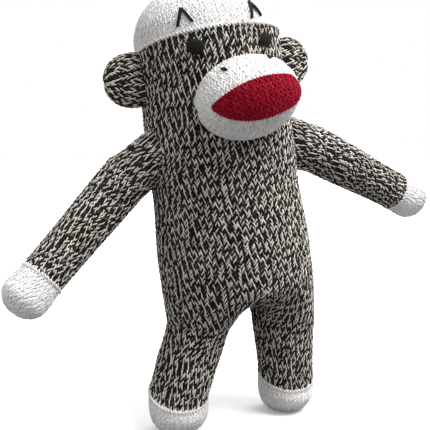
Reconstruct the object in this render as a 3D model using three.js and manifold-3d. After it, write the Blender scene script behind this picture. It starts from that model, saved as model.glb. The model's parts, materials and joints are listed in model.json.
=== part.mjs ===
// A classic stuffed monkey made of knitted tube: a leaning body, two arms, two legs, sewn ears and muzzle.
// Millimetres, +Z up. The face looks along -Y, so the figure's own right side is at -X.
import * as THREE from 'three';
import { mergeVertices } from 'three/addons/utils/BufferGeometryUtils.js';
import Module from 'manifold-3d';

// ---- driving dimensions -------------------------------------------------------------------------
const HEIGHT = 300;             // soles to top of the crown, measured up the body before it leans
const LEAN = 8 * Math.PI / 180; // the upper body leans towards -X by this angle
const LEAN_Z = 84;              // height of the point that the body leans about
const KNIT = 1.4;               // thickness of the knitted cover
const GAP = 0.35;               // clearance between neighbouring pieces
const ROUND = 20;               // facets around a tube
const ARC = 4;                  // facets along a quarter round
const OVERLAP = 5;              // how far a cutting solid runs past the one that it cuts

const TORSO = { rx: 50.5, ry: 45, bottom: 102 };
// Heights above the torso's bottom, the half width there, and how far that ring rises for each millimetre
// that the outline is shrunk, so that the bottom keeps its thickness.
const TORSO_OUTLINE = [
  [0, 40, 1],
  [3, 47.5, 0.6],
  [10, 52, 0],
  [28, 51.4, 0],
  [58, 50.5, 0],
  [98, 49.5, 0],
];
const HEAD = { rx: 47.5, ry: 45, dome: 262, steps: 5 };  // the tube closes into a dome from here up
const CAP_SEAM = { z: 258, tilt: 0.168 };                // the white cap's edge rises towards the face
// The neck's centre, the radii of its ball and cup, the room around the layer between them, the amount by
// which that layer is narrower than the head, and its highest point below the centre.
const NECK = { z: 226, ball: 56, cup: 61.6, slack: 1.35, inset: 4.5, layerTop: -20 };

const FACE_FRONT = -95;         // a depth in front of the whole face
const MUZZLE = { x: 31.5, y: 28, z: 24.5, atX: 2.5, atY: -48.5, atZ: 221, tilt: -8 * Math.PI / 180 };
const LIPS = { width: 55, height: 22, thick: 2, right: -1.5, low: -2.2, tilt: -5 * Math.PI / 180 };
const EYE = { x: 22, z: 254.5, radius: 4.7, thick: 1.2 };
const BROW = {
  x: 22, shift: -4.5, footZ: 268, apexZ: 278.5, forkZ: 273.7, halfWidth: 4.2, stroke: 2, lean: -1.8,
};
const NOSTRIL = { x: 15, rise: 18.8, radius: 1.5 };  // measured from the muzzle's middle, along its tilt
// The ear's hinge end is a half round; its mouth, where it is sewn on, is an open slot in that end.
const EAR = { z: 241, reach: 18.5, half: 15.5, thick: 5.2, mouth: 21, facets: 14 };

const ARM = { z: 180, root: 15.8, wrist: 13.6, toWrist: 82, toTip: 107, gapToBody: 1.5, openAngle: 1.05 };
const ARM_POSE = {              // droop below the body's own horizontal and forward swing, in degrees
  right: { droop: 37, forward: 14 },
  left: { droop: 32, forward: -6 },
};
// The ball of filling that the arm turns on, and the cup for it in the arm's own stuffing.
const SHOULDER = { ball: 9, cup: 9.6, cupEdge: 0.35 };
const WRIST_THREAD = 0.6;       // radius of the thread around the wrist

// The leg's top closes into a dome that stops a little short of the pole.
const LEG = { x: 31, z: 78.5, root: 21.8, ankle: 19.2, slim: 0.6, domeSteps: 5, domePole: 5.3 };
const FOOT = { widest: 20, widestZ: 12, sole: 12, seam: 26, seamTilt: 0.34 };
const FOOT_AT = {               // centres of the two soles on the ground
  right: { x: -52, y: -7 },
  left: { x: 39.5, y: 6 },
};

// ---- solids -------------------------------------------------------------------------------------
const wasm = await Module();
wasm.setup();

function solid(geometry) {
  const bare = geometry.clone();
  bare.deleteAttribute('normal');
  bare.deleteAttribute('uv');
  const merged = mergeVertices(bare, 1e-4);
  return new wasm.Manifold(new wasm.Mesh({
    numProp: 3,
    vertProperties: new Float32Array(merged.attributes.position.array),
    triVerts: new Uint32Array(merged.index.array),
  }));
}

function geometryOf(manifold) {
  const mesh = manifold.getMesh();
  const geometry = new THREE.BufferGeometry();
  geometry.setAttribute('position', new THREE.BufferAttribute(new Float32Array(mesh.vertProperties), 3));
  geometry.setIndex(new THREE.BufferAttribute(new Uint32Array(mesh.triVerts), 1));
  geometry.computeVertexNormals();
  return geometry;
}

// A closed body through horizontal ellipses, listed from the lowest to the highest.
function loft(rings) {
  const points = [];
  for (const ring of rings) {
    for (let i = 0; i < ROUND; i += 1) {
      const angle = 2 * Math.PI * i / ROUND;
      points.push(
        (ring.x ?? 0) + ring.rx * Math.cos(angle),
        (ring.y ?? 0) + ring.ry * Math.sin(angle),
        ring.z,
      );
    }
  }
  const low = rings[0];
  const high = rings[rings.length - 1];
  points.push(low.x ?? 0, low.y ?? 0, low.z, high.x ?? 0, high.y ?? 0, high.z);
  const lowCentre = rings.length * ROUND;
  const highCentre = lowCentre + 1;
  const lastRing = (rings.length - 1) * ROUND;
  const faces = [];
  for (let i = 0; i < ROUND; i += 1) {
    const next = (i + 1) % ROUND;
    faces.push(lowCentre, next, i);
    faces.push(highCentre, lastRing + i, lastRing + next);
    for (let k = 0; k + 1 < rings.length; k += 1) {
      const a = k * ROUND + i;
      const b = k * ROUND + next;
      faces.push(a, b, b + ROUND, a, b + ROUND, a + ROUND);
    }
  }
  const geometry = new THREE.BufferGeometry();
  geometry.setAttribute('position', new THREE.Float32BufferAttribute(points, 3));
  geometry.setIndex(faces);
  return solid(geometry);
}

function ellipsoid(rx, ry, rz, x = 0, y = 0, z = 0, turnY = 0) {
  const geometry = new THREE.SphereGeometry(1, ROUND, ROUND / 2);
  geometry.rotateX(Math.PI / 2);
  geometry.scale(rx, ry, rz);
  geometry.rotateY(turnY);
  geometry.translate(x, y, z);
  return solid(geometry);
}

function box(width, depth, height, x, y, z) {
  const geometry = new THREE.BoxGeometry(width, depth, height);
  geometry.translate(x, y, z);
  return solid(geometry);
}

// An outline in the XZ plane, pushed along Y from one depth to another.
function frontOutline(shape, fromY, toY) {
  const geometry = new THREE.ExtrudeGeometry(shape, {
    depth: toY - fromY,
    bevelEnabled: false,
    curveSegments: 6,
  });
  geometry.rotateX(Math.PI / 2);
  geometry.translate(0, toY, 0);
  return solid(geometry);
}

// ---- body profiles, each given as the amount by which it is shrunk -------------------------------
function torsoRings(inset, addedTop = 0) {
  const taper = TORSO.ry / TORSO.rx;
  const rings = TORSO_OUTLINE.map(([height, radius, rise]) => ({
    z: TORSO.bottom + height + inset * rise,
    rx: radius - inset,
    ry: radius * taper - inset,
  }));
  rings.at(-1).z += addedTop;
  return rings;
}

function headTube(inset, bottom, top) {
  return loft([
    { z: bottom, rx: HEAD.rx - inset, ry: HEAD.ry - inset },
    { z: top, rx: HEAD.rx - inset, ry: HEAD.ry - inset },
  ]);
}

function crownRings(inset, bottom) {
  const rise = HEIGHT - HEAD.dome;
  const rings = [{ z: bottom, rx: HEAD.rx - inset, ry: HEAD.ry - inset }];
  for (let k = bottom < HEAD.dome ? 0 : 1; k < HEAD.steps; k += 1) {
    const angle = (k / HEAD.steps) * Math.PI / 2;
    const shrink = Math.cos(angle);
    rings.push({
      z: HEAD.dome + (rise - inset) * Math.sin(angle),
      rx: (HEAD.rx - inset) * shrink,
      ry: (HEAD.ry - inset) * shrink,
    });
  }
  rings.push({ z: HEIGHT - inset, rx: 2, ry: 2 });
  return rings;
}

function neckSphere(radius) {
  return ellipsoid(radius, radius, radius, 0, 0, NECK.z);
}

// ---- body and head ------------------------------------------------------------------------------
const torsoOuter = loft(torsoRings(0)).subtract(neckSphere(NECK.cup));
const torsoCover = torsoOuter.subtract(loft(torsoRings(KNIT, OVERLAP)));
const torsoStuffing = loft(torsoRings(KNIT + GAP)).subtract(neckSphere(NECK.cup + GAP));

// Everything above the seam of the white cap.
function aboveCapSeam(lift) {
  const geometry = new THREE.BoxGeometry(HEIGHT, HEIGHT, HEIGHT);
  geometry.translate(0, 0, HEIGHT / 2);
  geometry.rotateX(-CAP_SEAM.tilt);
  geometry.translate(0, 0, CAP_SEAM.z + lift);
  return solid(geometry);
}

const lowHead = headTube(0, NECK.z - NECK.ball, NECK.z).intersect(neckSphere(NECK.ball));
const headShell = lowHead.add(loft(crownRings(0, NECK.z - 1)))
  .subtract(loft(crownRings(KNIT, NECK.z - NECK.cup)));
const headCover = headShell.subtract(aboveCapSeam(-GAP / 2));
const crownCap = headShell.intersect(aboveCapSeam(GAP / 2));
const lowStuffing = headTube(KNIT + GAP, NECK.z - NECK.ball, NECK.z)
  .intersect(neckSphere(NECK.ball - GAP));
const headStuffing = lowStuffing.add(loft(crownRings(KNIT + GAP, NECK.z - 1)));
const neckWadding = headTube(NECK.inset, NECK.z - NECK.cup, NECK.z + NECK.layerTop)
  .intersect(neckSphere(NECK.cup - NECK.slack))
  .subtract(neckSphere(NECK.ball + NECK.slack));

// A band that lies on the tube of the head, from one height above its surface to another.
function onHead(outline, lowest, highest) {
  const band = loft(crownRings(-highest, NECK.z)).subtract(loft(crownRings(-lowest, NECK.z - OVERLAP)));
  return band.intersect(outline);
}

// ---- muzzle and face ----------------------------------------------------------------------------
function muzzleBall(grow) {
  return ellipsoid(
    MUZZLE.x + grow, MUZZLE.y + grow, MUZZLE.z + grow,
    MUZZLE.atX, MUZZLE.atY, MUZZLE.atZ, MUZZLE.tilt,
  );
}

const headClearance = headTube(-GAP, NECK.z - NECK.ball, HEAD.dome);
const muzzleCover = muzzleBall(0).subtract(muzzleBall(-KNIT)).subtract(headClearance);
const muzzleStuffing = muzzleBall(-KNIT - GAP).subtract(headClearance);

function lipsOutline() {
  const half = LIPS.width / 2;
  const shape = new THREE.Shape();
  shape.moveTo(-half, 0);
  shape.quadraticCurveTo(-half * 0.35, LIPS.height * 0.62, half * 0.45, LIPS.height / 2);
  shape.quadraticCurveTo(half, LIPS.height * 0.42, half, 0);
  shape.quadraticCurveTo(half, -LIPS.height * 0.45, half * 0.35, -LIPS.height / 2);
  shape.quadraticCurveTo(-half * 0.35, -LIPS.height * 0.5, -half, 0);
  const tilted = shape.getPoints(5).map((p) => new THREE.Vector2(
    MUZZLE.atX + LIPS.right + p.x * Math.cos(LIPS.tilt) + p.y * Math.sin(LIPS.tilt),
    MUZZLE.atZ + LIPS.low - p.x * Math.sin(LIPS.tilt) + p.y * Math.cos(LIPS.tilt),
  ));
  return new THREE.Shape(tilted);
}

const lips = muzzleBall(GAP + LIPS.thick).subtract(muzzleBall(GAP))
  .intersect(frontOutline(lipsOutline(), FACE_FRONT, MUZZLE.atY));

function discOutline(x, z, radius) {
  const shape = new THREE.Shape();
  shape.absarc(x, z, radius, 0, 2 * Math.PI);
  return shape;
}

function eye(side) {
  const outline = frontOutline(discOutline(side * EYE.x, EYE.z, EYE.radius), FACE_FRONT, 0);
  return onHead(outline, GAP, GAP + EYE.thick);
}

// An upside-down V of satin stitch.
function brow(side) {
  const shape = new THREE.Shape();
  const centre = side * BROW.x + BROW.shift;
  shape.moveTo(centre - BROW.halfWidth, BROW.footZ);
  shape.lineTo(centre + BROW.lean, BROW.apexZ);
  shape.lineTo(centre + BROW.halfWidth, BROW.footZ);
  shape.lineTo(centre + BROW.halfWidth - BROW.stroke, BROW.footZ);
  shape.lineTo(centre + BROW.lean, BROW.forkZ);
  shape.lineTo(centre - BROW.halfWidth + BROW.stroke, BROW.footZ);
  return onHead(frontOutline(shape, FACE_FRONT, 0), GAP, GAP + EYE.thick);
}

function nostril(side) {
  const across = side * NOSTRIL.x;
  const x = MUZZLE.atX + across * Math.cos(MUZZLE.tilt) + NOSTRIL.rise * Math.sin(MUZZLE.tilt);
  const z = MUZZLE.atZ - across * Math.sin(MUZZLE.tilt) + NOSTRIL.rise * Math.cos(MUZZLE.tilt);
  const outline = frontOutline(discOutline(x, z, NOSTRIL.radius), FACE_FRONT, MUZZLE.atY);
  return muzzleBall(GAP + EYE.thick).subtract(muzzleBall(GAP)).intersect(outline);
}

// ---- ears: a half disc that is rounded about its own hinge line --------------------------------
function earBall(side, inset) {
  const geometry = new THREE.SphereGeometry(1, EAR.facets, EAR.facets / 2 + 1);
  const position = geometry.attributes.position;
  for (let i = 0; i < position.count; i += 1) {
    const outward = position.getX(i) > 0 ? EAR.reach - inset : EAR.thick - inset;
    position.setXYZ(
      i,
      side * position.getX(i) * outward,
      position.getZ(i) * (EAR.thick - inset),
      -side * position.getY(i) * (EAR.half - inset),
    );
  }
  return solid(geometry);
}

function earCover(side) {
  const mouth = box(4 * KNIT, 3 * KNIT, EAR.mouth, side * -(EAR.thick - KNIT), 0, 0);
  return earBall(side, 0).subtract(earBall(side, KNIT)).subtract(mouth);
}

// ---- arms: turned about their own axis, which runs along +X for the left arm --------------------
function turned(profile) {
  const geometry = new THREE.LatheGeometry(profile.map(([r, t]) => new THREE.Vector2(r, t)), ROUND);
  geometry.rotateX(Math.PI / 2);
  return solid(geometry);
}

function arc(radius, centre, from, to, steps) {
  const points = [];
  for (let k = 0; k <= steps; k += 1) {
    const angle = from + (to - from) * k / steps;
    points.push([Math.max(0, radius * Math.cos(angle)), centre + radius * Math.sin(angle)]);
  }
  return points;
}

function armShell() {
  const outer = arc(ARM.root, 0, -ARM.openAngle, 0, ARC);
  const inner = arc(ARM.root - KNIT, 0, 0, -ARM.openAngle, ARC);
  return turned([
    ...outer,
    [ARM.wrist, ARM.toWrist - GAP],
    [ARM.wrist - KNIT, ARM.toWrist - GAP],
    ...inner,
    outer[0],
  ]);
}

function armStuffing() {
  const inset = KNIT + GAP;
  const handRadius = ARM.wrist - inset;
  const cup = arc(SHOULDER.cup, 0, Math.PI / 2, SHOULDER.cupEdge, ARC - 1);
  return turned([
    ...cup,
    [ARM.root - inset - GAP, SHOULDER.cup * Math.sin(SHOULDER.cupEdge)],
    [handRadius, ARM.toWrist],
    ...arc(handRadius, ARM.toTip - inset - handRadius, 0, Math.PI / 2, ARC),
  ]);
}

function handShell() {
  const base = ARM.toTip - ARM.wrist;
  const outer = arc(ARM.wrist, base, 0, Math.PI / 2, ARC);
  const inner = arc(ARM.wrist - KNIT, base, Math.PI / 2, 0, ARC);
  return turned([
    [ARM.wrist, ARM.toWrist],
    ...outer,
    ...inner,
    [ARM.wrist - KNIT, ARM.toWrist],
    [ARM.wrist, ARM.toWrist],
  ]);
}

function threadRing(radius, thickness) {
  const geometry = new THREE.TorusGeometry(radius, thickness, 4, ROUND);
  return solid(geometry);
}

// ---- legs, in ground coordinates ----------------------------------------------------------------
function leaned(x, z) {
  const up = z - LEAN_Z;
  return {
    x: x * Math.cos(LEAN) - up * Math.sin(LEAN),
    z: LEAN_Z + x * Math.sin(LEAN) + up * Math.cos(LEAN),
  };
}

function legRings(side, inset) {
  const name = side < 0 ? 'right' : 'left';
  const foot = FOOT_AT[name];
  const hip = leaned(side * LEG.x, LEG.z);
  const along = (z) => THREE.MathUtils.clamp((z - FOOT.widestZ) / (hip.z - FOOT.widestZ), 0, 1);
  const rings = [];
  const add = (z, radius) => rings.push({
    x: foot.x + (hip.x - foot.x) * along(z),
    y: foot.y * (1 - along(z)),
    z,
    rx: radius - inset,
    ry: radius - inset,
  });
  add(inset, FOOT.sole);
  for (let k = 1; k <= ARC; k += 1) {
    const angle = (k / ARC) * Math.PI / 2;
    const radius = FOOT.sole + (FOOT.widest - FOOT.sole) * Math.sin(angle);
    add(FOOT.widestZ - (FOOT.widestZ - inset) * Math.cos(angle), radius);
  }
  add(FOOT.seam, LEG.ankle);
  add((FOOT.seam + hip.z) / 2, (LEG.ankle + LEG.root) / 2 - LEG.slim);
  add(hip.z, LEG.root);
  for (let k = 1; k <= LEG.domeSteps; k += 1) {
    const angle = (k / LEG.domePole) * Math.PI / 2;
    const radius = (LEG.root - inset) * Math.cos(angle) + inset;
    add(hip.z + (LEG.root - inset) * Math.sin(angle), radius);
  }
  return rings;
}

// A slab that holds everything below the tilted seam of the foot; the seam is lower at the front.
function belowSeam(side, lift) {
  const foot = FOOT_AT[side < 0 ? 'right' : 'left'];
  const size = HEIGHT / 3;
  const geometry = new THREE.BoxGeometry(size, size, size);
  geometry.translate(0, 0, -size / 2);
  geometry.rotateX(FOOT.seamTilt);
  geometry.translate(foot.x, foot.y, FOOT.seam + lift);
  return solid(geometry);
}

function legShell(side) {
  return loft(legRings(side, 0)).subtract(loft(legRings(side, KNIT)));
}

// ---- assembly -----------------------------------------------------------------------------------
const COLOURS = {
  marl: 0x8f8a84,
  white: 0xf4f5f3,
  red: 0xb02438,
  black: 0x2c2b2d,
  fill: 0xf7f3ea,
  thread: 0x4a4645,
};

function piece(name, manifold, colour) {
  const material = new THREE.MeshStandardMaterial({ color: COLOURS[colour], roughness: 0.9, metalness: 0 });
  const mesh = new THREE.Mesh(geometryOf(manifold), material);
  mesh.name = name;
  return mesh;
}

function pivot(name, x, y, z) {
  const group = new THREE.Group();
  group.name = name;
  group.position.set(x, y, z);
  return group;
}

const upright = new THREE.Group();
upright.position.z = -LEAN_Z;
upright.add(
  piece('torso_cover', torsoCover, 'marl'),
  piece('torso_stuffing', torsoStuffing, 'fill'),
  piece('neck_wadding', neckWadding, 'fill'),
  piece('head_cover', headCover, 'marl'),
  piece('head_stuffing', headStuffing, 'fill'),
  piece('crown_cap', crownCap, 'white'),
  piece('muzzle_cover', muzzleCover, 'white'),
  piece('muzzle_stuffing', muzzleStuffing, 'fill'),
  piece('lips', lips, 'red'),
  pivot('neck_pivot', 0, 0, NECK.z),
);

for (const [name, side] of [['right', -1], ['left', 1]]) {
  upright.add(
    piece(`${name}_eye`, eye(side), 'black'),
    piece(`${name}_brow`, brow(side), 'black'),
    piece(`${name}_nostril`, nostril(side), 'black'),
  );

  const ear = pivot(`${name}_ear_pivot`, side * (HEAD.rx + EAR.thick + GAP), 0, EAR.z);
  ear.add(
    piece(`${name}_ear_cover`, earCover(side), 'marl'),
    piece(`${name}_ear_stuffing`, earBall(side, KNIT + GAP), 'fill'),
  );
  upright.add(ear);

  const pose = ARM_POSE[name];
  const arm = pivot(`${name}_shoulder_pivot`, side * (TORSO.rx + ARM.root + ARM.gapToBody), 0, ARM.z);
  const droop = THREE.MathUtils.degToRad(pose.droop);
  const forward = THREE.MathUtils.degToRad(pose.forward);
  const direction = new THREE.Vector3(
    side * Math.cos(droop) * Math.cos(forward),
    -Math.cos(droop) * Math.sin(forward),
    -Math.sin(droop),
  );
  arm.quaternion.setFromUnitVectors(new THREE.Vector3(0, 0, 1), direction);
  const seam = piece(`${name}_wrist_seam`, threadRing(ARM.wrist + 1.5 * WRIST_THREAD, WRIST_THREAD), 'thread');
  seam.position.z = ARM.toWrist;
  arm.add(
    piece(`${name}_shoulder_wadding`, ellipsoid(SHOULDER.ball, SHOULDER.ball, SHOULDER.ball), 'fill'),
    piece(`${name}_arm_cover`, armShell(), 'marl'),
    piece(`${name}_arm_stuffing`, armStuffing(), 'fill'),
    piece(`${name}_hand_cap`, handShell(), 'white'),
    seam,
  );
  upright.add(arm);
}

const figure = new THREE.Group();
const leaning = new THREE.Group();
leaning.position.z = LEAN_Z;
leaning.rotation.y = -LEAN;
leaning.add(upright);
figure.add(leaning);

for (const [name, side] of [['right', -1], ['left', 1]]) {
  const hip = leaned(side * LEG.x, LEG.z);
  const shell = legShell(side);
  figure.add(
    piece(`${name}_leg_cover`, shell.subtract(belowSeam(side, GAP / 2)), 'marl'),
    piece(`${name}_foot_cap`, shell.intersect(belowSeam(side, -GAP / 2)), 'white'),
    piece(`${name}_leg_stuffing`, loft(legRings(side, KNIT + GAP)), 'fill'),
    pivot(`${name}_hip_pivot`, hip.x, 0, hip.z),
  );
}

// The origin is on the ground under the middle of the figure's box.
figure.updateMatrixWorld(true);
const extent = new THREE.Box3().setFromObject(figure, true);
const middle = extent.getCenter(new THREE.Vector3());
figure.position.set(-middle.x, -middle.y, 0);

export default figure;
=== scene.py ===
"""A stuffed monkey knitted from marled yarn. Every stitch is a loop of two-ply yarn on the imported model."""
import json
import math

import bpy
import numpy as np
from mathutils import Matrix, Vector


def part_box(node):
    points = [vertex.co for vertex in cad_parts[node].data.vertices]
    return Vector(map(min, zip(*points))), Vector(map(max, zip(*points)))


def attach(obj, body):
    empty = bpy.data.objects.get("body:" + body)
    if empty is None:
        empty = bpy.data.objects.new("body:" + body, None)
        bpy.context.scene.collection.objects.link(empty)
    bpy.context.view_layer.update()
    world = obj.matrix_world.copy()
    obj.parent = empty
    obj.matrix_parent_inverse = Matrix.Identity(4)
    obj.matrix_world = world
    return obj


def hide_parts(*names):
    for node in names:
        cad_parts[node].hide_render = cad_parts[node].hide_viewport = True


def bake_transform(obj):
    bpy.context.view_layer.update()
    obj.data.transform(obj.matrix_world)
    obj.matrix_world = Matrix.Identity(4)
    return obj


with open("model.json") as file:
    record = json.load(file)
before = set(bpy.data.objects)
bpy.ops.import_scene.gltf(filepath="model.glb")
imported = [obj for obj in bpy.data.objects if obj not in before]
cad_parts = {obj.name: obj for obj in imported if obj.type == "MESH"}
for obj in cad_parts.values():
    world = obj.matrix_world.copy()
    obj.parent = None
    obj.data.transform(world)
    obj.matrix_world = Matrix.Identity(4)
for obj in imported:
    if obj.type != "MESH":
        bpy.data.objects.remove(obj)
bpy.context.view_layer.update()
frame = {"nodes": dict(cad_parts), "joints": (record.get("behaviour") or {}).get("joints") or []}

# ---- the figure's own frame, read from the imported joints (all working lengths are millimetres) ------
JOINTS = {joint["name"]: joint for joint in frame["joints"]}
MM = 0.001
NECK_Z = 226.0                      # height of the neck joint up the body
UP = np.array(JOINTS["neck_turn"]["axis"], float)
SIDE = np.array(JOINTS["neck_nod"]["axis"], float)
BACK = np.cross(UP, SIDE)
NECK = np.array(JOINTS["neck_turn"]["pos_m"], float) / MM
SIDES = (("right", -1), ("left", 1))

# ---- yarn and stitches -----------------------------------------------------------------------------
COURSE = 3.0                        # height of one row of stitches
SEGMENTS = 12                       # steps along the yarn in one stitch
SLANT = 0.13                        # how far the legs of a stitch lean together
LIGHT_PLY, DARK_PLY = 0.44, 0.68    # radii of the two plies of the marled yarn
WHITE_PLIES = (0.64, 0.64)
RED_PLIES = (0.6, 0.6)
CORD_PLIES = (0.8, 0.8)
TWIST = 2 * math.pi / 18.0          # turn of the plies per millimetre of yarn
UNEVEN = 1.7                        # how far the twist strays in one stitch
BACKING = 2                         # the number that stands for the backing where a ply has 0 or 1
BODY_WALES = 76                     # stitches around the body tube
LEG_WALES = BODY_WALES // 2
ARM_WALES = 30
CROWN_ROWS, FOOT_ROWS, HAND_ROWS, EAR_ROWS, MUZZLE_ROWS, LIPS_ROWS = 23, 12, 11, 10, 37, 8
FILLING_INSET, FILLING_STEPS = 2.0, 40

# ---- the figure ------------------------------------------------------------------------------------
BODY_BOTTOM, CROWN_SEAM, CROWN_TOP = 100.0, 258.0, 297.8
DOME_START, DOME_ARC = 262.0, 63.0  # height at which the head begins to round over, and that curve's length
CROWN_TILT = 0.168                  # the cap's edge rises towards the face
HIP_RX, CHEST_RX, HEAD_RX = 51.3, 48.4, 46.4
HIPS_TO_CHEST, CHEST_TO_HEAD = (118, 165), (185, 240)       # heights between which the width changes
WAIST, CHEST_TOP, NECK_MIDDLE = 146, 190, 207               # heights at which one piece follows another
BODY_DEPTH, HEAD_DEPTH = 0.9, 0.95  # depth of the body tube over its width
BELLY = {"bulge": 1.5, "z": 140, "spread": 34}
LEG_RADIUS, ANKLE_RADIUS, FOOT_SWELL = 20.6, 18.2, 1.8
FOOT_SEAM, SEAM_DROP, SOLE_Z, FOOT_MIDDLE = 26.0, 7.0, 1.3, 12.0
ARM_ROOT, ARM_WRIST, HAND_SWELL = 14.8, 12.6, 1.2
ARM_START, ARM_TO_WRIST, ARM_TO_TIP = -14.0, 82.0, 107.5    # measured along the arm from its ball
SLEEVE_LENGTH, SLEEVE_FLARE = 24.0, 1.42
EAR = {"reach": 18.2, "half": 16.0, "thick": 5.6, "sunk": 6.0}
MUZZLE = {"x": 31.2, "y": 27.8, "z": 24.0,
          "at_x": 2.5, "at_y": -48.5, "at_z": 221.0, "tilt": math.radians(8)}
LIPS = {"left": -28.5, "width": 54.5, "z": 0.9, "fall": 5.5, "top": 11.8, "low": 10.5, "lift": 1.6}
NOSTRIL = {"x": 15.0, "low": 18.6, "high": 20.3, "pitch": 0.7, "lift": 1.6, "strand": 0.5}
EYE = {"edge": 0.3, "pitch": 0.6, "lift": 1.9, "dome": 1.1, "strand": 0.48}
BROW = {"apex_x": 1.4, "lean": 1.2, "apex_z": 5.0, "feet": ((-3.8, -5.0), (3.8, -3.8)),
        "pitch": 0.5, "lift": 1.5, "dome": 0.6, "strand": 0.56}


def upright(points):
    """Body coordinates (x to the left hand, y to the back, z up the body) to the scene's, in millimetres."""
    points = np.asarray(points, float)
    return NECK + points[..., :1] * SIDE + points[..., 1:2] * BACK + (points[..., 2:3] - NECK_Z) * UP


def joint_place(name):
    return np.array(JOINTS[name]["pos_m"], float) / MM


def unit(vectors):
    return vectors / np.maximum(np.linalg.norm(vectors, axis=-1, keepdims=True), 1e-9)


def smooth(value, low, high):
    t = np.clip((value - low) / (high - low), 0, 1)
    return t * t * (3 - 2 * t)


# ---- knitting --------------------------------------------------------------------------------------
def corners(grid):
    """The four corners of every face of a grid of values."""
    return np.stack([grid[:-1, :-1], grid[:-1, 1:], grid[1:, 1:], grid[1:, :-1]], 2)


class Knit:
    """Gathers yarn and backing into one mesh, with the ply, the place along the yarn and a bake layout."""

    def __init__(self, name):
        self.name = name
        self.points, self.faces, self.layout = [], [], []
        self.ply, self.along, self.tone = [], [], []
        self.count = 0

    def grid(self, points, ply, along, tone, closed=False, tube=True):
        """points[k, s] is place s across step k. closed joins the steps to a ring, and tube the places."""
        steps, places = points.shape[:2]
        index = self.count + np.arange(steps * places).reshape(steps, places)
        faces = corners(np.pad(index, ((0, int(closed)), (0, int(tube))), mode="wrap"))
        ends = [np.linspace(0, 1, count + 1) for count in faces.shape[:2]]
        layout = corners(np.stack(np.meshgrid(*ends, indexing="ij"), -1))
        self.points.append(points.reshape(-1, 3))
        self.faces.append(faces.reshape(-1, 4))
        self.layout.append(layout.reshape(-1, 4, 2))
        self.ply.append(np.full(steps * places, float(ply)))
        self.along.append(np.repeat(along, places))
        self.tone.append(np.full(steps * places, tone))
        self.count += steps * places

    def bake_layout(self):
        """Every yarn's strip gets a cell of its own in the square, and stands clear of its neighbours."""
        strip_shape = 24            # a strip's length over its width
        margin_across, margin_down = 0.02, 0.1
        columns = math.ceil(math.sqrt(len(self.layout) / strip_shape))
        rows = math.ceil(len(self.layout) / columns)
        scale = np.array([(1 - 2 * margin_across) / columns, (1 - 2 * margin_down) / rows])
        placed = []
        for k, strip in enumerate(self.layout):
            corner = np.array([(k % columns + margin_across) / columns, (k // columns + margin_down) / rows])
            placed.append(strip * scale + corner)
        return np.concatenate(placed)

    def build(self, material):
        points = np.concatenate(self.points) * MM
        faces = np.concatenate(self.faces)
        mesh = bpy.data.meshes.new(self.name)
        mesh.vertices.add(len(points))
        mesh.vertices.foreach_set("co", points.astype(np.float32).ravel())
        mesh.loops.add(faces.size)
        mesh.loops.foreach_set("vertex_index", faces.astype(np.int32).ravel())
        mesh.polygons.add(len(faces))
        mesh.polygons.foreach_set("loop_start", np.arange(0, faces.size, 4, dtype=np.int32))
        mesh.polygons.foreach_set("loop_total", np.full(len(faces), 4, np.int32))
        mesh.polygons.foreach_set("use_smooth", np.ones(len(faces), bool))
        for name, values in (("ply", self.ply), ("along", self.along), ("tone", self.tone)):
            attribute = mesh.attributes.new(name, "FLOAT", "POINT")
            attribute.data.foreach_set("value", np.concatenate(values).astype(np.float32))
        layer = mesh.uv_layers.new(name="OFBake")
        layer.data.foreach_set("uv", self.bake_layout().astype(np.float32).ravel())
        mesh.materials.append(material)
        mesh.update(calc_edges=True)
        mesh.validate()
        piece = bpy.data.objects.new(self.name, mesh)
        bpy.context.scene.collection.objects.link(piece)
        return piece


def yarn(knit, path, normal, tone, closed, radii=(LIGHT_PLY, DARK_PLY), sides=5, phase=0.0, twist=TWIST,
         wander=0.0):
    """Lays twisted plies along a path of points, with the fabric's outward normal at each of them."""
    if closed:
        tangent = unit(np.roll(path, -1, 0) - np.roll(path, 1, 0))
        step = np.linalg.norm(np.roll(path, -1, 0) - path, axis=1)
        turns = max(1, round(twist * step.sum() / (2 * math.pi)))
        twist = turns * 2 * math.pi / step.sum()
    else:
        tangent = unit(np.gradient(path, axis=0))
        step = np.append(np.linalg.norm(np.diff(path, axis=0), axis=1), 0)
    out = unit(normal - (normal * tangent).sum(1, keepdims=True) * tangent)
    across = np.cross(tangent, out)
    along = np.concatenate([[0], np.cumsum(step)[:-1]])
    angle = phase + along * twist + wander
    whole = sum(radii)
    around = (np.arange(sides) * 2 * math.pi / sides)[None, :, None]
    ring = np.cos(around) * out[:, None, :] + np.sin(around) * across[:, None, :]
    for ply, radius in enumerate(radii):
        turn = angle + ply * math.pi
        reach = 0.88 * (whole - radius)     # the plies press a little into each other
        centre = path + reach * (np.cos(turn)[:, None] * out + np.sin(turn)[:, None] * across)
        knit.grid(centre[:, None, :] + radius * ring, ply, along, tone, closed)


def surface_frame(surface, u, v, du=1e-3, dv=0.05):
    """The point of a surface at u and v, and the normal there."""
    east = surface(u + du, v) - surface(u - du, v)
    north = surface(u, v + dv) - surface(u, v - dv)
    return surface(u, v), unit(np.cross(east, north))


def wandering(rng, steps):
    """A drift that ends where it starts, one random change to a stitch, for the uneven twist of the yarn."""
    knots = max(4, steps // SEGMENTS)
    values = np.append(0, np.cumsum(rng.normal(0, UNEVEN, knots)))
    values = values - np.linspace(0, values[-1], knots + 1)
    return np.interp(np.linspace(0, knots, steps, endpoint=False), np.arange(knots + 1), values)


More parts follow.
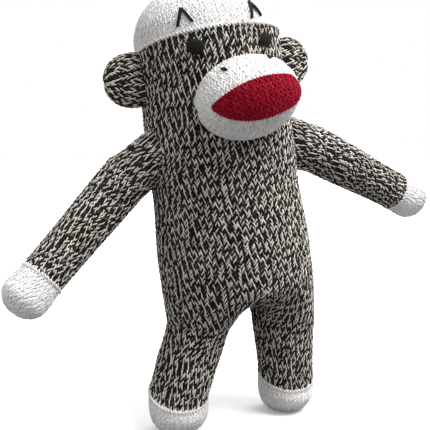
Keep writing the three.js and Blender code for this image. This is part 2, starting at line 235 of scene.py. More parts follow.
def knit_rows(knit, surface, rows, wales, rng, closed=True, depth=0.8, loop=1.0,
              radii=(LIGHT_PLY, DARK_PLY)):
    """Rows of stockinette, each of them one yarn. surface(u, v) has u round the piece and v in rows.

    wales is the number of stitches in a row, or a function of the row that gives it. depth is how far the
    loops stand out and sink in, and loop is their height in rows, less than 0 if they hang the other way.
    """
    for row in rows:
        count = wales(row) if callable(wales) else wales
        steps = count * SEGMENTS + (0 if closed else 1)
        t = np.arange(steps) * 2 * math.pi / SEGMENTS
        unevenness = 0.03 * np.sin(t / count * 5 + row * 1.7) if closed else 0.035 * np.sin(t * 0.37 + row)
        u = (t / (2 * math.pi) - SLANT * np.sin(2 * t)) / count
        v = row + 0.5 + loop * np.cos(t) + unevenness
        path, normal = surface_frame(surface, u, v)
        path = path + normal * (0.12 * np.cos(t) - depth * np.cos(2 * t))[:, None]
        wander = wandering(rng, steps)
        tone, phase = rng.random(), rng.random() * 2 * math.pi
        yarn(knit, path, normal, tone, closed, radii, phase=phase, wander=wander)


def inner_rings(surface, u, levels, inset):
    """Points that lie under a surface, a ring of them at each level."""
    rings = []
    for level in levels:
        point, normal = surface_frame(surface, u, np.full_like(u, level))
        rings.append(point - normal * inset)
    return np.stack(rings)


def backing(knit, surface, low, high, inset=1.1, steps=64, closed=True, per_row=2):
    """A close fabric just under the yarn, so that nothing shows between the loops. Its colour, darker than
    the yarn, is painted shade in those gaps.
    """
    u = np.linspace(0, 1, steps if closed else steps + 1, endpoint=not closed)
    levels = np.linspace(low, high, max(2, int((high - low) * per_row) + 1))
    knit.grid(inner_rings(surface, u, levels, inset), BACKING, np.zeros(len(levels)), 0.5, tube=closed)


def cord(knit, surface, v, lift, rng, steps=240, pitch=4.5):
    """A twisted cord that lies round a tube and hides the ends of the rows at a change of colour."""
    u = np.arange(steps) / steps
    path, normal = surface_frame(surface, u, np.full(steps, float(v)))
    twist = 2 * math.pi / pitch
    yarn(knit, path + normal * lift, normal, rng.random(), True, CORD_PLIES, sides=6, twist=twist)


def strand(knit, points, normals, radius, rng):
    """One straight stitch of floss."""
    yarn(knit, points, normals, rng.random(), False, (radius,), sides=6)


def filling(name, surface, low, high, per_row=1, hollow=0.0):
    """The wadding inside a knitted tube: a smooth form a little under the fabric, closed at both ends.

    hollow is how deep its top end is sunk, for the wadding that lies in it.
    """
    u = np.arange(FILLING_STEPS) / FILLING_STEPS
    levels = np.linspace(low, high, int((high - low) * per_row) + 2)
    rings = inner_rings(surface, u, levels, FILLING_INSET)
    first = np.broadcast_to(rings[0].mean(0), rings[:1].shape)
    last = np.broadcast_to(rings[-1].mean(0) - hollow * UP, rings[:1].shape)
    points = np.concatenate([first, rings, last])
    knit = Knit(name)
    knit.grid(points, BACKING, np.zeros(len(points)), 0.5)
    return knit.build(FILLING)


# ---- materials -------------------------------------------------------------------------------------
def node(tree, kind, **settings):
    made = tree.nodes.new(kind)
    for name, value in settings.items():
        setattr(made, name, value)
    return made


def ramp(tree, factor, stops):
    made = node(tree, "ShaderNodeValToRGB")
    elements = made.color_ramp.elements
    while len(elements) < len(stops):
        elements.new(0.5)
    for element, (place, colour) in zip(elements, stops):
        element.position = place
        element.color = (*colour, 1)
    tree.links.new(factor, made.inputs["Fac"])
    return made.outputs["Color"]


def mix(tree, factor, first, second, mode="MIX"):
    made = node(tree, "ShaderNodeMix", data_type="RGBA", blend_type=mode)
    for socket, value in (("Factor", factor), ("A", first), ("B", second)):
        kind = "VALUE" if socket == "Factor" else "RGBA"
        slot = next(s for s in made.inputs if s.name == socket and s.type == kind)
        if isinstance(value, (int, float)):
            slot.default_value = value
        elif isinstance(value, tuple):
            slot.default_value = (*value, 1)
        else:
            tree.links.new(value, slot)
    return next(s for s in made.outputs if s.type == "RGBA")


def maths(tree, operation, first, second=0.0, third=0.5):
    made = node(tree, "ShaderNodeMath", operation=operation)
    for socket, value in zip(made.inputs, (first, second, third)):
        if isinstance(value, (int, float)):
            socket.default_value = value
        else:
            tree.links.new(value, socket)
    return made.outputs[0]


def noise(tree, place, scale, detail=2.0):
    made = node(tree, "ShaderNodeTexNoise", noise_dimensions="3D")
    made.inputs["Scale"].default_value = scale
    made.inputs["Detail"].default_value = detail
    tree.links.new(place, made.inputs["Vector"])
    return made.outputs["Fac"]


BLOT_SCALE, FIBRE_SCALE, PATCH_SCALE = 160.0, 1400.0, 45.0      # cells to the metre
TURNS_OF_FIBRE = 5.5                # how fast the fibres wind along the yarn, in radians to the millimetre


def grey(value):
    return (value, value, value)


def yarn_material(name, first, second, backing_shade, first_blot, second_blot, shade, sheen, roughness=0.85):
    """Each ply strays towards its blot. backing_shade is the backing's colour; where it is darker than the
    yarn it is painted shade in the gaps between the loops. shade that between the fibres.
    """
    material = bpy.data.materials.new(name)
    material.use_nodes = True
    tree = material.node_tree
    shader = tree.nodes["Principled BSDF"]
    ply, along, tone = (node(tree, "ShaderNodeAttribute", attribute_name=kind).outputs["Fac"]
                        for kind in ("ply", "along", "tone"))
    place = node(tree, "ShaderNodeTexCoord").outputs["Object"]
    blot, patch = noise(tree, place, BLOT_SCALE), noise(tree, place, PATCH_SCALE)
    fibre = noise(tree, place, FIBRE_SCALE, detail=3.0)
    light = ramp(tree, blot, [(0.25, first_blot), (0.5, first)])
    dark = ramp(tree, blot, [(0.45, second), (0.75, second_blot)])
    colour = mix(tree, maths(tree, "GREATER_THAN", ply, 0.5), light, dark)
    # the backing is coloured darker than the yarn: painted shade in the gaps between the loops
    colour = mix(tree, maths(tree, "GREATER_THAN", ply, 1.5), colour, backing_shade)
    for factor, stops in ((fibre, [(0.3, grey(shade)), (0.7, grey(1.0))]),
                          (patch, [(0.3, (0.88, 0.86, 0.84)), (0.7, grey(1.0))]),
                          (tone, [(0.0, (0.93, 0.92, 0.91)), (1.0, grey(1.0))])):
        colour = mix(tree, 1.0, colour, ramp(tree, factor, stops), "MULTIPLY")
    tree.links.new(colour, shader.inputs["Base Color"])
    turn = maths(tree, "SINE", maths(tree, "MULTIPLY", along, TURNS_OF_FIBRE))
    bump = node(tree, "ShaderNodeBump")
    bump.inputs["Strength"].default_value = 0.55
    bump.inputs["Distance"].default_value = 0.0004
    tree.links.new(maths(tree, "MULTIPLY_ADD", turn, 0.25, fibre), bump.inputs["Height"])
    tree.links.new(bump.outputs["Normal"], shader.inputs["Normal"])
    rough = maths(tree, "MULTIPLY_ADD", fibre, 0.18, roughness - 0.09)
    tree.links.new(rough, shader.inputs["Roughness"])
    shader.inputs["Sheen Weight"].default_value = sheen
    shader.inputs["Sheen Roughness"].default_value = 0.45
    shader.inputs["Specular IOR Level"].default_value = 0.1
    return material


# each knitted yarn's backing colour is darker than its plies: painted shade in the gaps between the loops
MARL = yarn_material(
    "marl_yarn", first=(0.90, 0.87, 0.81), second=(0.013, 0.010, 0.009), backing_shade=(0.015, 0.012, 0.010),
    first_blot=(0.55, 0.48, 0.40), second_blot=(0.075, 0.047, 0.034), shade=0.62, sheen=0.08)
WHITE = yarn_material(
    "white_yarn", first=grey(0.88), second=grey(0.87), backing_shade=grey(0.80),
    first_blot=grey(0.82), second_blot=grey(0.82), shade=0.92, sheen=0.05)
RED = yarn_material(
    "red_yarn", first=(0.42, 0.004, 0.024), second=(0.36, 0.003, 0.020), backing_shade=(0.14, 0.002, 0.008),
    first_blot=(0.50, 0.020, 0.050), second_blot=(0.22, 0.002, 0.012), shade=0.6, sheen=0.04)
BLACK = yarn_material("black_floss", *[(0.016, 0.017, 0.018)] * 5, shade=0.7, sheen=0.0, roughness=0.6)
FILLING = yarn_material("fibre_filling", *[(0.85, 0.83, 0.78)] * 5, shade=0.8, sheen=0.25)


# ---- the body tube: legs, torso, head and crown ----------------------------------------------------
BODY_ROWS = round((CROWN_SEAM - BODY_BOTTOM) / COURSE)
BODY_COURSE = (CROWN_SEAM - BODY_BOTTOM) / BODY_ROWS


def body_radius(z):
    """Half width of the body tube at a height up the body."""
    hips = HIP_RX - (HIP_RX - CHEST_RX) * smooth(z, *HIPS_TO_CHEST)
    return hips - (CHEST_RX - HEAD_RX) * smooth(z, *CHEST_TO_HEAD)


def body_tube(u, z):
    """u runs round from the front, towards the left hand, so that stitches face outward."""
    angle = -math.pi / 2 + 2 * math.pi * u
    rx = body_radius(z)
    ry = rx * (BODY_DEPTH + (HEAD_DEPTH - BODY_DEPTH) * smooth(z, *CHEST_TO_HEAD))
    bulge = BELLY["bulge"] * np.exp(-((z - BELLY["z"]) / BELLY["spread"]) ** 2)
    y = (ry + bulge * np.maximum(0, -np.sin(angle))) * np.sin(angle)
    tilted = z - y * CROWN_TILT * smooth(z, 205, CROWN_SEAM)
    return upright(np.stack([rx * np.cos(angle), y, tilted], -1))


def body_rows(u, v):
    return body_tube(u, BODY_BOTTOM + v * BODY_COURSE)


def row_at(z):
    return round((z - BODY_BOTTOM) / BODY_COURSE)


def body_piece(name, low, high, rng):
    knit = Knit(name)
    knit_rows(knit, body_rows, range(low, high), BODY_WALES, rng)
    backing(knit, body_rows, low - 0.3, high + 0.3)
    return knit.build(MARL)


def crown_dome(u, v):
    """v counts rows up the crown from its tilted seam; the tube is straight as far as the dome."""
    angle = -math.pi / 2 + 2 * math.pi * u
    rx = body_radius(CROWN_SEAM)
    straight = DOME_START - CROWN_SEAM + rx * HEAD_DEPTH * np.sin(angle) * CROWN_TILT
    up = v / CROWN_ROWS * (straight + DOME_ARC)
    curve = np.clip((up - straight) / DOME_ARC, 0, 0.99) * math.pi / 2
    shrunk = rx * np.cos(curve)
    z = DOME_START + np.minimum(up - straight, 0) + (CROWN_TOP - DOME_START) * np.sin(curve)
    return upright(np.stack([shrunk * np.cos(angle), shrunk * HEAD_DEPTH * np.sin(angle), z], -1))


def crown_wales(row):
    """The crown closes by knitting stitches together before three of its rows."""
    shares = ((13, 1), (18, 2), (21, 4), (CROWN_ROWS, 9))
    return BODY_WALES // next(share for end, share in shares if row < end)


def crown_piece(rng):
    knit = Knit("crown_knit")
    knit_rows(knit, crown_dome, range(0, CROWN_ROWS), crown_wales, rng, depth=0.4, radii=WHITE_PLIES)
    backing(knit, crown_dome, -0.3, CROWN_ROWS)
    cord(knit, crown_dome, 0.1, 0.7, rng, steps=480)
    return knit.build(WHITE)


def head_filling():
    """Follows the tube of the head up to just under the crown's seam, and from there the crown."""
    change = BODY_ROWS - 1

    def surface(u, v):
        return body_rows(u, v) if v[0] < change else crown_dome(u, v - change)

    return filling("head_filling", surface, row_at(NECK_Z), change + CROWN_ROWS - 1)


# ---- legs: half of the body tube each, closing into a round tube below -----------------------------
def sole_centre(name):
    cap = frame["nodes"][f"{name}_foot_cap"]
    points = np.array([cap.matrix_world @ v.co for v in cap.data.vertices]) / MM
    return points[points[:, 2] < 0.2].mean(0)


def leg_surface(name, side):
    """The surface of one leg. u runs from the crotch in front, round the outside, to the crotch behind."""
    foot = sole_centre(name)
    hip = joint_place(f"{name}_hip_swing")
    start_z = upright(np.array([side * HIP_RX / 2, 0.0, BODY_BOTTOM]))[2]
    length = start_z - FOOT_SEAM

    def half_of_body(u, level):
        swing = -math.pi / 2 + math.pi * u
        return upright(np.stack([
            side * HIP_RX * np.cos(swing),
            HIP_RX * BODY_DEPTH * np.sin(swing),
            BODY_BOTTOM - length * level,
        ], -1))

    def round_tube(u, level):
        turn = math.pi + 2 * math.pi * u
        leg_z = start_z - length * np.minimum(level, 1)
        radius = ANKLE_RADIUS + (LEG_RADIUS - ANKLE_RADIUS) * smooth(leg_z, FOOT_SEAM, hip[2] - 4)
        under = np.clip(level - 1, 0, 1)
        curve = under * math.pi / 2
        radius = (radius + FOOT_SWELL * np.sin(under * math.pi)) * np.sqrt(np.clip(np.cos(curve), 0, 1))
        share = np.clip((leg_z - FOOT_MIDDLE) / (hip[2] - FOOT_MIDDLE), 0, 1)[..., None]
        above_hip = np.maximum(leg_z - hip[2], 0)[..., None]
        centre = foot * (1 - share) + hip * share + above_hip * UP / UP[2]
        near_seam = np.clip(1 - np.abs(level - 1) / 0.5, 0, 1)
        y = np.sin(turn) * radius
        z = leg_z - (FOOT_SEAM - SOLE_Z) * np.sin(curve) + y * near_seam * SEAM_DROP / ANKLE_RADIUS
        x = centre[..., 0] + side * np.cos(turn) * radius
        return np.stack([x, centre[..., 1] + y, np.maximum(z, SOLE_Z)], -1)

    def surface(u, level):
        """level 0 is where the leg leaves the body, 1 the seam of the foot, 2 the middle of the sole."""
        u, level = np.broadcast_arrays(u, level)
        if side < 0:
            u = 1 - u               # the stitches of both legs face outward
        round_from = 0.34 + 0.36 * np.sin(math.pi * u)     # soon at the crotch, later on the outside
        weight = smooth(level, 0.0, round_from)[..., None]
        return half_of_body(u, level) * (1 - weight) + round_tube(u, level) * weight

    return surface


def foot_wales(row):
    """The foot closes under the sole with half the stitches, and then a quarter."""
    if row > 3:
        return LEG_WALES
    return LEG_WALES // 2 if row > 0 else LEG_WALES // 4


def leg_pieces(name, side, rng):
    surface = leg_surface(name, side)
    rows = round((BODY_BOTTOM - FOOT_SEAM) / COURSE)

    def on_leg(u, v):
        return surface(u, 1 - v / rows)

    def on_foot(u, v):
        return surface(u, 2 - v / FOOT_ROWS)

    def on_both(u, v):
        return surface(u, 2 - v / rows)

    leg = Knit(f"{name}_leg_knit")
    knit_rows(leg, on_leg, range(0, rows), LEG_WALES, rng)
    backing(leg, on_leg, -0.3, rows + 0.3, steps=48)
    foot = Knit(f"{name}_foot_knit")
    knit_rows(foot, on_foot, range(0, FOOT_ROWS), foot_wales, rng, depth=0.4, radii=WHITE_PLIES)
    backing(foot, on_foot, 0.02, FOOT_ROWS + 0.3, steps=48)
    cord(foot, on_foot, FOOT_ROWS - 0.1, 0.8, rng)
    inside = filling(f"{name}_leg_filling", on_both, 1, 2 * rows - 4)
    return leg.build(MARL), foot.build(WHITE), inside


# ---- arms ------------------------------------------------------------------------------------------
def arm_tube(name):
    """The arm and hand. t is the distance along it from the middle of the ball at the shoulder."""
    low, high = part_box(f"{name}_hand_cap")
    shoulder = joint_place(f"{name}_shoulder_raise")
    along = unit(np.array((low + high) / 2) / MM - shoulder)
    across = unit(np.cross(along, np.array([0.0, 0.0, 1.0])))
    over = np.cross(across, along)
    hand = ARM_TO_TIP - ARM_WRIST * 0.9

    def surface(u, t):
        u, t = np.broadcast_arrays(u, t)
        angle = 2 * math.pi * u
        radius = ARM_ROOT + (ARM_WRIST - ARM_ROOT) * smooth(t, -5, ARM_TO_WRIST)
        radius = radius + HAND_SWELL * smooth(t, ARM_TO_WRIST - 2, ARM_TO_WRIST + 12)
        tip = np.clip((t - hand) / (ARM_TO_TIP - hand), 0, 1)
        ball = np.clip(-t / ARM_ROOT, 0, 1)
        radius = np.where(t < 0, ARM_ROOT * np.sqrt(1 - ball ** 2), radius * np.sqrt(1 - tip ** 2))
        ring = np.cos(angle)[..., None] * across - np.sin(angle)[..., None] * over
        return shoulder + along * t[..., None] + ring * radius[..., None]

    return surface, along


def sleeve_surface(name, side, arm, along):
    """From the body's side to the ball of the arm: the root of the arm, widened where it is sewn on."""
    shoulder = joint_place(f"{name}_shoulder_raise")
    middle = (shoulder - NECK) @ UP + NECK_Z
    inward = abs((shoulder - NECK) @ SIDE) - CHEST_RX
    rise = -inward * (along @ UP) / abs(along @ SIDE)

    def surface(u, t):
        """t 0 is on the body, 1 is just past the middle of the arm's ball."""
        u, t = np.broadcast_arrays(u, t)
        end = arm(u, np.full(t.shape, 4.0))
        offset = end - NECK
        y = offset @ BACK
        z = middle + rise + (offset @ UP + NECK_Z - middle) * SLEEVE_FLARE
        rx = body_radius(z)
        x = side * (rx * np.sqrt(np.clip(1 - (y / (rx * BODY_DEPTH)) ** 2, 0.1, 1)) - 1.5)
        base = upright(np.stack([x, y, z], -1))
        return base + (end - base) * t[..., None]

    return surface


def hand_wales(row):
    return ARM_WALES if row < 7 else ARM_WALES // 2


def arm_pieces(name, side, rng):
    tube, along = arm_tube(name)
    sleeve = sleeve_surface(name, side, tube, along)
    rows = round((ARM_TO_WRIST - ARM_START) / COURSE)
    sleeve_rows = round(SLEEVE_LENGTH / COURSE)
    wrist = ARM_START + rows * COURSE
    fullness = math.pi / 2 * 0.98   # the rows of the hand crowd together at its tip

    def on_arm(u, v):
        return tube(u, ARM_START + v * COURSE)

    def on_hand(u, v):
        share = np.sin(np.clip(v / HAND_ROWS, -1 / HAND_ROWS, 1) * fullness) / math.sin(fullness)
        return tube(u, wrist + (ARM_TO_TIP - wrist) * share)

    def on_sleeve(u, v):
        return sleeve(u, v / sleeve_rows)

    arm = Knit(f"{name}_arm_knit")
    knit_rows(arm, on_arm, range(0, rows), ARM_WALES, rng)
    backing(arm, on_arm, 0.2, rows + 0.3, steps=40)
    hand = Knit(f"{name}_hand_knit")
    knit_rows(hand, on_hand, range(0, HAND_ROWS - 1), hand_wales, rng, depth=0.4, radii=WHITE_PLIES)
    backing(hand, on_hand, -0.3, HAND_ROWS - 0.2, steps=40)
    cord(hand, on_hand, 0.0, 0.8, rng)
    root = Knit(f"{name}_arm_root_knit")
    knit_rows(root, on_sleeve, range(0, sleeve_rows), ARM_WALES, rng)
    backing(root, on_sleeve, -0.3, sleeve_rows, steps=40)
    inside = filling(f"{name}_arm_filling", tube, -12, ARM_TO_TIP - 2, 0.15)
    return arm.build(MARL), hand.build(WHITE), root.build(MARL), inside


# ---- ears ------------------------------------------------------------------------------------------
def ear_wales(row):
    return 22 if row < 7 else 14


def ear_piece(name, side, rng):
    hinge = joint_place(f"{name}_ear_fold")

    def surface(u, v):
        """v 0 is against the head and EAR_ROWS is the rim."""
        u, v = np.broadcast_arrays(u, v)
        angle = 2 * math.pi * u
        out = np.sin(np.clip(v / EAR_ROWS, -0.2, 1) * math.pi / 2)
        x = -EAR["sunk"] + (EAR["reach"] + EAR["sunk"]) * out
        rim = np.clip(x / EAR["reach"], 0, 1)
        wide = EAR["half"] * np.sqrt(1 - rim ** 2.2)
        deep = EAR["thick"] * np.sqrt(1 - rim ** 3) * (0.75 + 0.25 * np.cos(rim * math.pi))
        offset = np.stack([side * x, side * np.cos(angle) * deep, np.sin(angle) * wide], -1)
        return hinge + offset[..., :1] * SIDE + offset[..., 1:2] * BACK + offset[..., 2:3] * UP

    knit = Knit(f"{name}_ear_knit")
    knit_rows(knit, surface, range(0, EAR_ROWS - 1), ear_wales, rng, depth=0.6)
    backing(knit, surface, 0, EAR_ROWS - 0.1, steps=32, inset=0.9)
    return knit.build(MARL)


# ---- muzzle and face -------------------------------------------------------------------------------
def front_of_head(x, z):
    """The y of the head's front surface at x across and z up the body."""
    rx = body_radius(np.minimum(z, CROWN_SEAM))
    rise = np.clip((z - DOME_START) / (CROWN_TOP - DOME_START), 0, 0.98)
    shrink = np.sqrt(1 - rise ** 2)
    return -rx * HEAD_DEPTH * shrink * np.sqrt(np.clip(1 - (x / (rx * shrink)) ** 2, 0.01, 1))


def on_front(x, z, lift):
    """Points on the head's front, raised off the fabric, with the outward normal there."""
    x, z = np.broadcast_arrays(x, z)
    step = 0.5
    y = front_of_head(x, z)
    slope_x = (front_of_head(x + step, z) - front_of_head(x - step, z)) / (2 * step)
    slope_z = (front_of_head(x, z + step) - front_of_head(x, z - step)) / (2 * step)
    normal = unit(np.stack([slope_x, -np.ones_like(x), slope_z], -1))
    world = normal[..., :1] * SIDE + normal[..., 1:2] * BACK + normal[..., 2:3] * UP
    return upright(np.stack([x, y, z], -1) + normal * lift[:, None]), world


def muzzle_point(x, bend, grow=0.0):
    """x across the muzzle; bend turns from straight up (0) over the front to straight down (pi)."""
    share = np.clip(x / (MUZZLE["x"] + grow), -0.9995, 0.9995)
    slim = np.sqrt(1 - share ** 2)
    y = MUZZLE["at_y"] - (MUZZLE["y"] + grow) * slim * np.sin(bend)
    z = (MUZZLE["z"] + grow) * slim * np.cos(bend)
    tilt = MUZZLE["tilt"]
    across = MUZZLE["at_x"] + x * math.cos(tilt) - z * math.sin(tilt)
    height = MUZZLE["at_z"] + x * math.sin(tilt) + z * math.cos(tilt)
    return upright(np.stack([across, np.minimum(y, front_of_head(across, height)), height], -1))


def muzzle_bend(x, z, grow):
    """The bend at which a point x across the muzzle is z above its middle."""
    slim = np.sqrt(1 - np.clip(np.abs(x) / (MUZZLE["x"] + grow), 0, 0.999) ** 2)
    return np.arccos(np.clip(z / ((MUZZLE["z"] + grow) * slim), -1, 1))


def muzzle_piece(rng):
    def surface(u, v):
        x = MUZZLE["x"] * np.sin((u - 0.5) * math.pi * 0.985)
        return muzzle_point(x, math.pi * (1.35 - 1.70 * v / MUZZLE_ROWS))

    knit = Knit("muzzle_knit")
    knit_rows(knit, surface, range(0, MUZZLE_ROWS), 24, rng, closed=False, depth=0.3, radii=WHITE_PLIES)
    backing(knit, surface, 0, MUZZLE_ROWS, closed=False, steps=48, inset=0.8)
    return knit.build(WHITE)


def lips_reach(share):
    """How far the lips reach above and below their middle line. share 0 is the pointed corner."""
    top = LIPS["top"] * np.sin(share ** 0.75 * math.pi * 0.72)
    low = LIPS["low"] * np.sin(share ** 0.62 * math.pi * 0.88)
    blunt = np.sqrt(np.clip(1 - np.clip((share - 0.86) / 0.14, 0, 1) ** 2, 0.02, 1))
    return top * blunt, low * blunt


def lips_piece(rng):
    def surface(u, v):
        u, v = np.broadcast_arrays(np.clip(u, 0, 1), np.clip(v / LIPS_ROWS, 0, 1))
        x = LIPS["left"] + LIPS["width"] * u
        top, low = lips_reach(u)
        z = LIPS["z"] - LIPS["fall"] * u - low + (top + low) * v
        return muzzle_point(x, muzzle_bend(x, z, LIPS["lift"]), LIPS["lift"])

    knit = Knit("lips_knit")
    knit_rows(knit, surface, range(0, LIPS_ROWS), 16, rng, closed=False, depth=0.5, loop=-0.85,
              radii=RED_PLIES)
    backing(knit, surface, 0, LIPS_ROWS, closed=False, steps=40, inset=0.9, per_row=3)
    steps = 90
    across = np.linspace(0.0, 1.0, steps)
    edge_u = np.concatenate([across, across[-2:0:-1]])
    edge_v = np.concatenate([np.full(steps, float(LIPS_ROWS)), np.zeros(steps - 2)])
    path = surface(edge_u, edge_v)
    outward = unit(path - upright([MUZZLE["at_x"], MUZZLE["at_y"], MUZZLE["at_z"]]))
    yarn(knit, path + outward * 0.4, outward, 0.5, True, RED_PLIES, sides=6, twist=2 * math.pi / 4)
    return knit.build(RED)


def face_place(part):
    """Where the middle of a part's box is across the head and up the body."""
    low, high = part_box(part)
    middle = np.array((low + high) / 2) / MM - NECK
    return middle @ SIDE, middle @ UP + NECK_Z


def eye_piece(name, side, rng):
    cx, cz = face_place(f"{name}_eye")
    low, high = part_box(f"{name}_eye")
    radius = float(high.z - low.z) / MM / 2 - EYE["edge"]
    count = int(2 * radius / EYE["pitch"])
    knit = Knit(f"{name}_eye_stitches")
    for x in np.linspace(-radius, radius, count + 1):
        half = math.sqrt(max(radius ** 2 - x ** 2, 0.2))
        s = np.linspace(-1, 1, 9)
        z = s * half + rng.normal(0, 0.12)
        dome = EYE["dome"] * np.sqrt(1 - s ** 2) * math.sqrt(max(1 - (x / radius) ** 2, 0.1))
        strand(knit, *on_front(cx + x, cz + z, EYE["lift"] + dome), EYE["strand"], rng)
    return knit.build(BLACK)


def brow_piece(name, side, rng):
    """Two legs that meet above the eye, three strands of floss in each."""
    cx, cz = face_place(f"{name}_brow")
    apex = np.array([-BROW["lean"] - BROW["apex_x"] * side, BROW["apex_z"]])
    knit = Knit(f"{name}_brow_stitches")
    s = np.linspace(0, 1, 10)
    for foot in BROW["feet"]:
        for shift in (-BROW["pitch"], 0.0, BROW["pitch"]):
            x = cx + foot[0] + (apex[0] - foot[0]) * s + shift
            z = cz + foot[1] + (apex[1] - foot[1]) * s + rng.normal(0, 0.25)
            lift = BROW["lift"] + BROW["dome"] * np.sin(s * math.pi)
            strand(knit, *on_front(x, z, lift), BROW["strand"], rng)
    return knit.build(BLACK)


def nostril_piece(name, side, rng):
    knit = Knit(f"{name}_nostril_stitches")
    z = np.linspace(NOSTRIL["low"], NOSTRIL["high"], 6)
    for shift in (-NOSTRIL["pitch"], 0.0, NOSTRIL["pitch"]):
        x = np.full(len(z), side * NOSTRIL["x"] + shift)
        bend = muzzle_bend(x, z, 1.0)
        points = muzzle_point(x, bend, NOSTRIL["lift"])
        outward = unit(muzzle_point(x, bend, NOSTRIL["lift"] + 2) - points)
        strand(knit, points, outward, NOSTRIL["strand"], rng)
    return knit.build(BLACK)


# ---- stage -----------------------------------------------------------------------------------------
FLOOR_WHITE = grey(0.93)
FLOOR_BOUNCE = grey(0.22)
FLOOR_GLOW, GLOW_PER_METRE = 0.10, 0.9  # the floor whitens away from the figure, so that no horizon shows
SKY = [(0.0, grey(0.18)), (0.5, (0.33, 0.33, 0.335)), (0.65, (0.64, 0.64, 0.65)), (1.0, (0.95, 0.95, 0.96))]
CAMERA = {"azimuth": math.radians(-21.0), "elevation": math.radians(6.0), "distance": 0.490,
          "target": Vector((0.0010, 0.0, -0.0806)), "field": math.radians(32.993)}
# name, place, the point it shines at, size in metres, power in watts
LIGHTS = (("key", (0.36, -0.36, 0.88), (0, 0, 0.2), 0.6, 12),
          ("rim", (0.9, 0.5, 0.9), (0, 0, 0.15), 0.8, 7),
          ("fill", (-0.6, -0.5, 0.6), (0, 0, 0.2), 0.8, 0.9))


def floor():
    """A white floor that lights the figure from below less than it shows to the camera."""
    size = 6.0
    mesh = bpy.data.meshes.new("floor")
    square = [(-size, -size, 0), (size, -size, 0), (size, size, 0), (-size, size, 0)]
    mesh.from_pydata(square, [], [(0, 1, 2, 3)])
    made = bpy.data.objects.new("floor", mesh)
    bpy.context.scene.collection.objects.link(made)
    material = bpy.data.materials.new("floor_white")
    material.use_nodes = True
    tree = material.node_tree
    shader = tree.nodes["Principled BSDF"]
    seen = node(tree, "ShaderNodeLightPath").outputs["Is Camera Ray"]
    tree.links.new(mix(tree, seen, FLOOR_BOUNCE, FLOOR_WHITE), shader.inputs["Base Color"])
    shader.inputs["Roughness"].default_value = 0.9
    shader.inputs["Emission Color"].default_value = (1, 1, 1, 1)
    reach = node(tree, "ShaderNodeVectorMath", operation="LENGTH")
    tree.links.new(node(tree, "ShaderNodeTexCoord").outputs["Object"], reach.inputs[0])
    glow = maths(tree, "MULTIPLY_ADD", reach.outputs["Value"], GLOW_PER_METRE, FLOOR_GLOW)
    tree.links.new(maths(tree, "MULTIPLY", seen, glow), shader.inputs["Emission Strength"])
    mesh.materials.append(material)


def surround():
    """A soft surround that is brighter above than below, and white where the camera sees it."""
    world = bpy.data.worlds.new("soft_white")
    world.use_nodes = True
    tree = world.node_tree
    background = tree.nodes["Background"]
    height = node(tree, "ShaderNodeSeparateXYZ")
    tree.links.new(node(tree, "ShaderNodeTexCoord").outputs["Generated"], height.inputs[0])
    sky = ramp(tree, maths(tree, "MULTIPLY_ADD", height.outputs["Z"], 0.5), SKY)
    seen = node(tree, "ShaderNodeLightPath").outputs["Is Camera Ray"]
    tree.links.new(mix(tree, seen, sky, grey(1.0)), background.inputs["Color"])
    background.inputs["Strength"].default_value = 1.0
    bpy.context.scene.world = world
    bpy.context.scene.view_settings.view_transform = "Standard"


def area_light(name, place, target, size, power):
    data = bpy.data.lights.new(name, "AREA")
    data.shape, data.size, data.energy = "DISK", size, power
    lamp = bpy.data.objects.new(name, data)
    lamp.location = place
    lamp.rotation_euler = (Vector(target) - Vector(place)).to_track_quat("-Z", "Y").to_euler()
    bpy.context.scene.collection.objects.link(lamp)


def camera():
    azimuth, elevation = CAMERA["azimuth"], CAMERA["elevation"]
    level = math.cos(elevation)
    back = Vector((math.sin(azimuth) * level, -math.cos(azimuth) * level, math.sin(elevation)))
    data = bpy.data.cameras.new("camera")
    data.angle = CAMERA["field"]
    data.clip_start = 0.01
    made = bpy.data.objects.new("camera", data)
    made.location = Vector(NECK * MM) + CAMERA["target"] + back * CAMERA["distance"]
    made.rotation_euler = (-back).to_track_quat("-Z", "Y").to_euler()
    bpy.context.scene.collection.objects.link(made)
    bpy.context.scene.camera = made


# ---- assembly --------------------------------------------------------------------------------------
def place(piece, body, *parts, slot=None):
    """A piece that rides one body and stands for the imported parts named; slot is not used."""
    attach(piece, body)
    if parts:
        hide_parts(*parts)


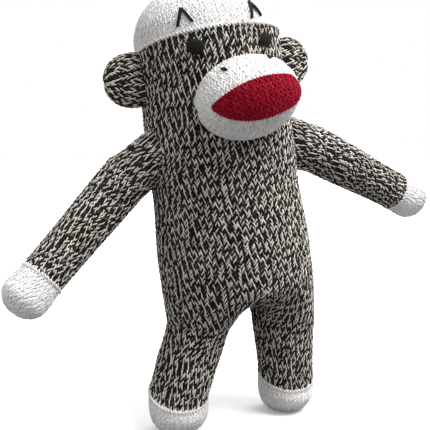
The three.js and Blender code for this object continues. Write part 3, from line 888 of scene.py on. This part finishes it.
def body_and_head(rng):
    waist, chest, neck, chin = (row_at(z) for z in (WAIST, CHEST_TOP, NECK_MIDDLE, NECK_Z))
    place(body_piece("belly_knit", 0, waist, rng), "torso", slot="marl_knit")
    place(body_piece("chest_knit", waist, chest, rng), "torso", "torso_cover", slot="marl_knit")
    lower = body_piece("lower_neck_knit", chest, neck, rng)
    upper = body_piece("upper_neck_knit", neck, chin, rng)
    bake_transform(lower)
    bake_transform(upper)
    place(body_piece("face_knit", chin, BODY_ROWS, rng), "head", "head_cover", slot="marl_knit")
    place(crown_piece(rng), "head", "crown_cap", slot="white_knit")
    place(muzzle_piece(rng), "head", "muzzle_cover", slot="white_knit")
    place(lips_piece(rng), "head", "lips", slot="red_knit")
    place(filling("torso_filling", body_rows, 0, chest - 2, hollow=29.0), "torso", "torso_stuffing")
    place(head_filling(), "head", "head_stuffing")


def face_and_limbs(name, side, rng):
    place(eye_piece(name, side, rng), "head", f"{name}_eye", slot="black_felt")
    place(brow_piece(name, side, rng), "head", f"{name}_brow", slot="black_floss")
    place(nostril_piece(name, side, rng), "head", f"{name}_nostril", slot="black_floss")
    place(ear_piece(name, side, rng), f"{name}_ear", f"{name}_ear_cover", slot="marl_knit")

    arm, hand, root, inside = arm_pieces(name, side, rng)
    place(arm, f"{name}_arm", f"{name}_arm_cover", slot="marl_knit")
    place(hand, f"{name}_arm", f"{name}_hand_cap", f"{name}_wrist_seam", slot="white_knit")
    place(inside, f"{name}_arm", f"{name}_arm_stuffing")
    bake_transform(root)

    leg, foot, inside = leg_pieces(name, side, rng)
    for piece, part in ((leg, "leg_cover"), (inside, "leg_stuffing")):
        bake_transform(piece)
        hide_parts(f"{name}_{part}")
    place(foot, f"{name}_leg", f"{name}_foot_cap", slot="white_knit")


def hidden_wadding():
    """The wadding that no piece replaces is of the same fibre."""
    for name, part in frame["nodes"].items():
        if "stuffing" in name or "wadding" in name:
            part.data.materials.clear()
            part.data.materials.append(FILLING)


draws = np.random.default_rng(7)
body_and_head(draws)
for side_name, side_sign in SIDES:
    face_and_limbs(side_name, side_sign, draws)
hidden_wadding()
floor()
surround()
for settings in LIGHTS:
    area_light(*settings)
camera()
